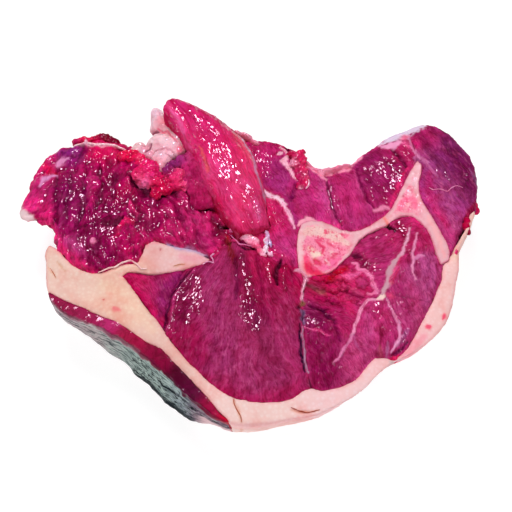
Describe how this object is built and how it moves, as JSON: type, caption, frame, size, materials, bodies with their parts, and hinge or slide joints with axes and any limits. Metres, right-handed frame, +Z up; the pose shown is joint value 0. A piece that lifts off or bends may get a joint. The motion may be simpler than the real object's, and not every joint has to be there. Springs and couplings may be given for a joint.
{
  "type": "raw veal shoulder",
  "caption": "Thick bone-in slab of raw veal shoulder: parted muscles, a forked blade bone in section, a lifted muscle and a knob of fat, with a bent fat cover along the outer side.",
  "frame": {"origin": "middle of the footprint box, on the board that the slab lies on", "axes": "+Z up, out of the upper cut face; the fat-covered outer side faces -Y and the blade's end +X"},
  "size_m": [0.3102, 0.2362, 0.0722],
  "materials": {
    "meat": "wet crimson-purple raw lean with fine fibres",
    "neck_meat": "very wet, dark, coarse and torn raw lean",
    "lifted_meat": "smooth, wet, bright pink-red raw lean",
    "skin_meat": "dark red lean with a grey-green stained, fibrous outer membrane",
    "fat": "cream to pink raw fat, softly shiny",
    "knob_fat": "wet pale pink fat and membrane",
    "bone": "sawn bone, pale pink rim with red spongy marrow"
  },
  "bodies": {
    "root": {"fat_cover": "fat", "skin_muscle": "skin_meat", "shoulder_blade": "bone", "fat_knob": "knob_fat", "lifted_muscle": "lifted_meat", "neck_muscle": "neck_meat", "great_muscle": "meat", "corner_muscle": "meat", "end_muscle": "meat", "shank_muscle": "meat", "back_muscle": "meat"}
  },
  "joints": []
}
